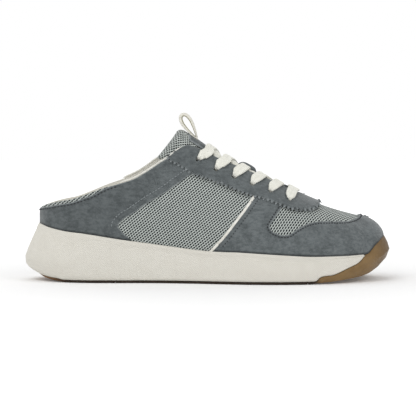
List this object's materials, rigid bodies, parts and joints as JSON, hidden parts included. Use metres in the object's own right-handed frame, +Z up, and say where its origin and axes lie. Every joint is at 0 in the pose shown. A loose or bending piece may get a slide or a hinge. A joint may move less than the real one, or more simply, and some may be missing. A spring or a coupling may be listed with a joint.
{
  "type": "slip-on shoe",
  "caption": "Right backless lace-up mule sneaker: chunky foam midsole, gum outsole turned up over the toe, suede panels on mesh, padded tongue with pull loop.",
  "frame": {"origin": "centre of the footprint, on the ground plane", "axes": "+X to the toe, +Y to the inner (medial) side of the right foot, +Z up"},
  "size_m": [0.2985, 0.1078, 0.1362],
  "materials": {
    "gum_rubber": "brown gum rubber, satin",
    "foam": "off-white moulded foam, matt with fine diagonal striations",
    "lining": "cream textile",
    "mesh": "light grey knitted mesh",
    "suede": "blue-grey suede with a short nap",
    "trim": "off-white webbing and piping",
    "lace": "soft flat cream lace",
    "keeper": "dark grey webbing"
  },
  "bodies": {
    "root": {"outsole": "gum_rubber", "midsole": "foam", "insole": "lining", "upper": "mesh", "heel_counter": "suede", "mudguard": "suede", "eyestay": "suede", "stripe_lateral": "trim", "stripe_medial": "trim", "piping_lateral": "trim", "piping_medial": "trim", "tongue": "mesh", "tongue_tab": "suede", "pull_loop": "trim", "lace_cross_1": "lace", "lace_cross_2": "lace", "lace_cross_3": "lace", "lace_cross_4": "lace", "lace_cross_5": "lace", "lace_bar": "lace", "lace_keeper": "keeper"}
  },
  "joints": []
}
